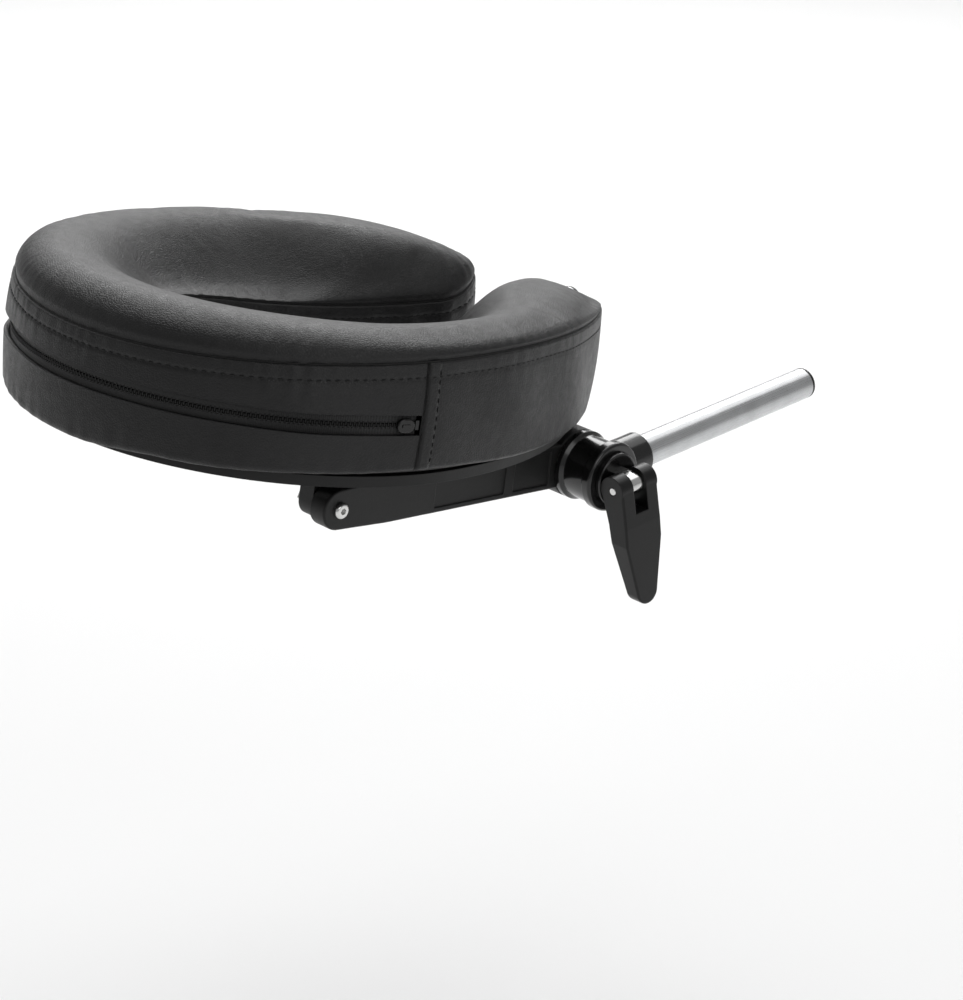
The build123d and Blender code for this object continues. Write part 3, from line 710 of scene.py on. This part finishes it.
LEATHER = leather("leatherette_cover", (0.0035, 0.0035, 0.0038), (0.0075, 0.0075, 0.0078), 0.41)
THREAD = woven("sewing_thread", grey(0.002), grey(0.006), 0.0004, 0.7, sheen=0.0)
SLOTS = {
    "leatherette": LEATHER,
    "base_foam": foam("foam_base", (0.35, 0.34, 0.30), (0.62, 0.60, 0.52), 0.0012),
    "memory_foam": foam("foam_memory", (0.45, 0.42, 0.30), (0.70, 0.66, 0.50), 0.0008),
    "zip_tape": woven("tape_weave", grey(0.004), (0.018, 0.018, 0.019), 0.0009),
    "zip_coil": plastic("coil_nylon", grey(0.003), grey(0.008), 0.45, 0.1, edge=0.0001),
    "zip_metal": plastic(
        "black_enamel", grey(0.003), grey(0.006), 0.24, 0.08, 1200.0, coat=0.3, edge=0.0003
    ),
    "hook_and_loop": woven("loop_fabric", grey(0.006), grey(0.03), 0.0006, 0.9),
    "platform_plastic": plastic("abs_platform", grey(0.005), grey(0.009), 0.46, 0.35, 700.0),
    "arm_plastic": plastic("nylon_arm", grey(0.004), grey(0.008), 0.44, 0.4, 650.0, edge=0.0009),
    "bushing_plastic": plastic("acetal_bushing", (0.55, 0.54, 0.5), (0.66, 0.65, 0.61), 0.4, 0.1),
    "hub_plastic": plastic(
        "gloss_hub", grey(0.003), grey(0.005), 0.2, 0.08, 500.0, coat=0.5, edge=0.001
    ),
    "lever_plastic": plastic(
        "satin_lever", grey(0.003), grey(0.006), 0.33, 0.15, 600.0, edge=0.0009
    ),
    "cap_plastic": plastic("post_cap", grey(0.012), grey(0.02), 0.45, 0.3),
    "post_steel": metal("post_zinc", (0.62, 0.63, 0.64), 0.28, (60.0, 8.0, 2600.0)),
    "bright_steel": metal("bright_nickel", (0.74, 0.74, 0.73), 0.18, (1200.0, 60.0, 60.0)),
    "set_screw_steel": metal("black_oxide", (0.06, 0.06, 0.065), 0.36, (900.0, 900.0, 900.0)),
}


def finish_cad():
    """Puts the finished material on each slot of the CAD meshes."""
    for cad in bpy.context.scene.objects:
        if cad.type != "MESH" or "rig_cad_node" not in cad:
            continue
        for slot in cad.material_slots:
            key = slot.material.name.split(".")[0] if slot.material else ""
            if key in SLOTS:
                slot.material = SLOTS[key]
            else:
                print("no finish for", cad.name, key)


finish_cad()


# ---- the cover ----
TOP_RINGS = (0.0, 0.4, 0.8, 1.3, 1.9, 2.7, 3.8, 5.2, 7.0, 9.2, 11.6)
UNDER_RINGS = (1.9, 2.4, 3.1, 3.8, 4.4, 5.0, 5.6, 6.4, 8.0, 10.0)
HELD_EDGE = 6.0  # the simulated movement dies out over this distance from the seam
UNDER_RISE = 0.25  # the underside's panel sits this much above the wall's lower edge
EDGE_FOLLOW = 4.6  # the underside follows the wall's droop about this far in


def level(height):
    return lambda s: np.full_like(s, height)


flat, faces = crescent_mesh(TOP_RINGS, spacing=2.6, reach=12.8)
top_points = top_surface(flat)
known, moved = fabric_fullness()
depth = spread(flat)[:, :1]
top_points = top_points + carry(flat, known, moved) * smooth(depth / HELD_EDGE)
top = make_object("cover_top_panel", top_points, faces, LEATHER)
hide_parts("top_panel", "memory_foam", "foam_core")

right = columns_between(SEAM_S, HALF)
around = np.concatenate((right, -right[::-1][1:]))
wall = band("cover_end_band", around, level(0), seam_height, LEATHER)
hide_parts("end_band")
front = columns_between(-SEAM_S, SEAM_S)
upper = band("cover_front_band_upper", front, level(ZIP_HIGH), seam_height, LEATHER, fold_low=True)
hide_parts("front_band_upper")
lower = band("cover_front_band_lower", front, level(0), level(ZIP_LOW), LEATHER, fold_high=True)
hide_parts("front_band_lower")

flat, faces = crescent_mesh(UNDER_RINGS, spacing=6.0, reach=12.0)
data = spread(flat)
rise = foot_lift(data[:, 3]) * np.exp(-(data[:, 0] / EDGE_FOLLOW) ** 6) + UNDER_RISE
under = np.concatenate((flat, rise[:, None]), -1)
bottom = make_object("cover_bottom_panel", under, [f[::-1] for f in faces], LEATHER)
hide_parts("bottom_panel")


# ---- thread: stitches that dive into the cover at each end, and the near-black cord down in each seam, which is seam thread and painted shadow of the seam's gap ----
THREAD_SIDES = 6
THREAD_R = 0.34
STITCH_LENGTH = 3.3
STITCH_GAP = 1.5
STITCH_LIFT = np.array((-0.7, 0.05, 0.25, 0.3, 0.25, 0.05, -0.7))  # above the cover, along its length
ROW_ENDS = (5.0, 3.0)  # an upright row starts this far up and stops this far below the seam
CORD_STEP = 1.8
# radii of the near-black seam lines, which paint the seams' shadow gaps as well as their thread
SEAM_SHADOW_LINE_R = 0.55
UPRIGHT_SHADOW_LINE_R = 0.5


def tube(path, t, radius, lift=0.0):
    """A thread along path(t), which gives surface points, outward and sideways directions."""
    line, out, side = path(t)
    line = line + out * np.reshape(lift, (-1, 1))
    rings = []
    for r in range(THREAD_SIDES):
        angle = 2 * pi * r / THREAD_SIDES
        rings.append(line + radius * (cos(angle) * out + sin(angle) * side))
    points = np.stack(rings, 1).reshape(-1, 3)
    faces = []
    for here in range(0, len(points) - THREAD_SIDES, THREAD_SIDES):
        above = here + THREAD_SIDES
        for r in range(THREAD_SIDES):
            q = (r + 1) % THREAD_SIDES
            faces.append((here + r, here + q, above + q, above + r))
    return list(points), faces


def stitches(path, start, end):
    runs = []
    position = start
    while position + STITCH_LENGTH < end:
        t = position + STITCH_LENGTH * np.linspace(0, 1, len(STITCH_LIFT))
        runs.append(tube(path, t, THREAD_R, STITCH_LIFT))
        position += STITCH_LENGTH + STITCH_GAP
    return runs


def seam_thread_shadow_line(path, start, end, radius):
    """The tight line of lockstitch thread down in a seam; near-black and thicker than the thread, it
    is also painted shadow of the seam's gap.
    """
    return tube(path, np.linspace(start, end, int((end - start) / CORD_STEP) + 2), radius)


def along_wall(drop):
    """A path along the wall, this far below the top seam."""
    def path(s):
        line = wall_point(s, seam_height(s) - drop)
        out = np.concatenate((outline(s)[1], np.zeros((len(s), 1))), -1)
        return line, out, np.broadcast_to((0.0, 0.0, 1.0), line.shape)
    return path


def up_wall(mark):
    """A path straight up the wall at distance mark along it."""
    def path(z):
        s = np.full_like(z, mark)
        normal = outline(s)[1]
        nothing = np.zeros((len(s), 1))
        out = np.concatenate((normal, nothing), -1)
        side = np.stack((-normal[:, 1], normal[:, 0], nothing[:, 0]), -1)
        return wall_point(s, z), out, side
    return path


def seam_at(mark):
    return float(seam_height(np.array(mark)))


def join_runs(name, runs):
    """One piece of thread from many runs of points and faces."""
    points, faces = [], []
    for p, f in runs:
        faces += [tuple(i + len(points) for i in face) for face in f]
        points += p
    made = make_object(name, np.array(points), faces, THREAD)
    return made


join_runs("topstitch", stitches(along_wall(STITCH_DROP), -HALF + 1, HALF - 1))
upright_runs = []
for mark in (-SEAM_S - SECOND_ROW, SEAM_S + SECOND_ROW):
    upright_runs += stitches(up_wall(mark), ROW_ENDS[0], seam_at(mark) - ROW_ENDS[1])
join_runs("seam_topstitch", upright_runs)
# painted shadow: near-black lines along the top seam and the upright seams stand for the thread and
# the shade in each seam's gap
seam_shadow_lines = [seam_thread_shadow_line(along_wall(0.0), -HALF, HALF, SEAM_SHADOW_LINE_R)]
for mark in (-SEAM_S, SEAM_S):
    seam_shadow_lines.append(seam_thread_shadow_line(up_wall(mark), 1.0, seam_at(mark) - 0.5, UPRIGHT_SHADOW_LINE_R))
join_runs("seam_lockstitch_shadow_line", seam_shadow_lines)


# ---- zip teeth ----
ZIP_REACH = radians(78)  # each way from the middle of the head end
TOOTH_PITCH = 1.15
TOOTH_R = 145.2  # radius at which the pitch is measured
TOOTH_BACK_R = 144.85
TOOTH_SECTION = ((0.0, -0.5), (0.28, -0.36), (0.4, 0.0), (0.28, 0.36), (0.0, 0.5))
TOOTH_HEIGHTS = np.array((-0.7, -0.2, 0.7, 1.6, 1.9))  # upper row, from the meshing end to the tape
TOOTH_DEPTHS = (0.1, 0.45, 0.55, 0.45, 0.05)
TOOTH_BASE = 0.35
TOOTH_BULGE = 1.6
TOOTH_WIDTH = 0.8


def zip_teeth():
    """Two rows of nylon coil that mesh with each other along the middle of the slot."""
    points, faces = [], []
    middle = (ZIP_LOW + ZIP_HIGH) / 2
    turn = TOOTH_PITCH / TOOTH_R
    n = len(TOOTH_SECTION)
    for k in range(int(2 * ZIP_REACH / turn)):
        upper_row = k % 2 == 0
        angle = -pi / 2 - ZIP_REACH + k * turn
        out = np.array((cos(angle), sin(angle)))
        along = np.array((-sin(angle), cos(angle)))
        heights = TOOTH_HEIGHTS if upper_row else -TOOTH_HEIGHTS
        first = len(points)
        for h, deep in zip(heights, TOOTH_DEPTHS):
            for across, place in TOOTH_SECTION:
                radius = TOOTH_BACK_R + deep * (TOOTH_BASE + across * TOOTH_BULGE)
                base = out * radius + along * place * TOOTH_WIDTH
                points.append((base[0], base[1], middle + h))
        for a in range(len(heights) - 1):
            for b in range(n - 1):
                here = first + a * n + b
                face = (here, here + 1, here + n + 1, here + n)
                faces.append(face if upper_row else face[::-1])
    return make_object("zip_teeth", np.array(points), faces, SLOTS["zip_coil"])


teeth = zip_teeth()
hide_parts("zip_coil")


# ---- floor, light and camera ----
def plane(name, size, location, material):
    half = size / 2
    mesh = bpy.data.meshes.new(name)
    corners = [(-half, -half, 0), (half, -half, 0), (half, half, 0), (-half, half, 0)]
    mesh.from_pydata(corners, [], [(0, 1, 2, 3)])
    obj = bpy.data.objects.new(name, mesh)
    obj.location = location
    mesh.materials.append(material)
    bpy.context.scene.collection.objects.link(obj)
    return obj


pale, _, _, floor_shader = new_material("pale_floor")
floor_shader.inputs["Base Color"].default_value = (0.86, 0.86, 0.86, 1)
floor_shader.inputs["Roughness"].default_value = 0.9
floor_shader.inputs["Specular IOR Level"].default_value = 0.1
floor = plane("floor", 60.0, (0, 0, -0.36), pale)

world = bpy.data.worlds.new("studio")
bpy.context.scene.world = world
world.use_nodes = True
world.node_tree.nodes["Background"].inputs["Color"].default_value = (1, 1, 1, 1)
world.node_tree.nodes["Background"].inputs["Strength"].default_value = 0.35


def softbox(name, location, target, size, power):
    light = bpy.data.lights.new(name, "AREA")
    light.shape = "RECTANGLE"
    light.size, light.size_y = size
    light.energy = power
    obj = bpy.data.objects.new(name, light)
    obj.location = location
    aim = Vector(target) - Vector(location)
    obj.rotation_euler = aim.to_track_quat("-Z", "Y").to_euler()
    bpy.context.scene.collection.objects.link(obj)
    return obj


sky = bpy.data.lights.new("soft_sun", "SUN")
sky.energy = 1.2
sky.angle = radians(70)
above = bpy.data.objects.new("soft_sun", sky)
above.rotation_euler = Euler((radians(-28), radians(-22), 0))
bpy.context.scene.collection.objects.link(above)
softbox("key_overhead", (-0.9, 0.3, 1.9), (0, -0.2, 0.05), (1.8, 1.8), 16)
softbox("behind", (-1.6, 1.5, 1.15), (0, -0.2, 0.05), (2.4, 1.0), 26)
softbox("fill_right", (1.8, -0.4, 1.1), (0, -0.2, 0.0), (1.2, 1.2), 7)

camera = bpy.data.cameras.new("photo_camera")
camera.lens = 100.9
camera.sensor_width = 36
camera.clip_start, camera.clip_end = 0.05, 50
viewpoint = bpy.data.objects.new("photo_camera", camera)
viewpoint.location = (1.0967, -1.1290, 0.6722)
viewpoint.rotation_euler = Euler((radians(90 - 25.29), 0, radians(45.56)))
bpy.context.scene.collection.objects.link(viewpoint)
bpy.context.scene.camera = viewpoint
bpy.context.scene.view_settings.view_transform = "Standard"
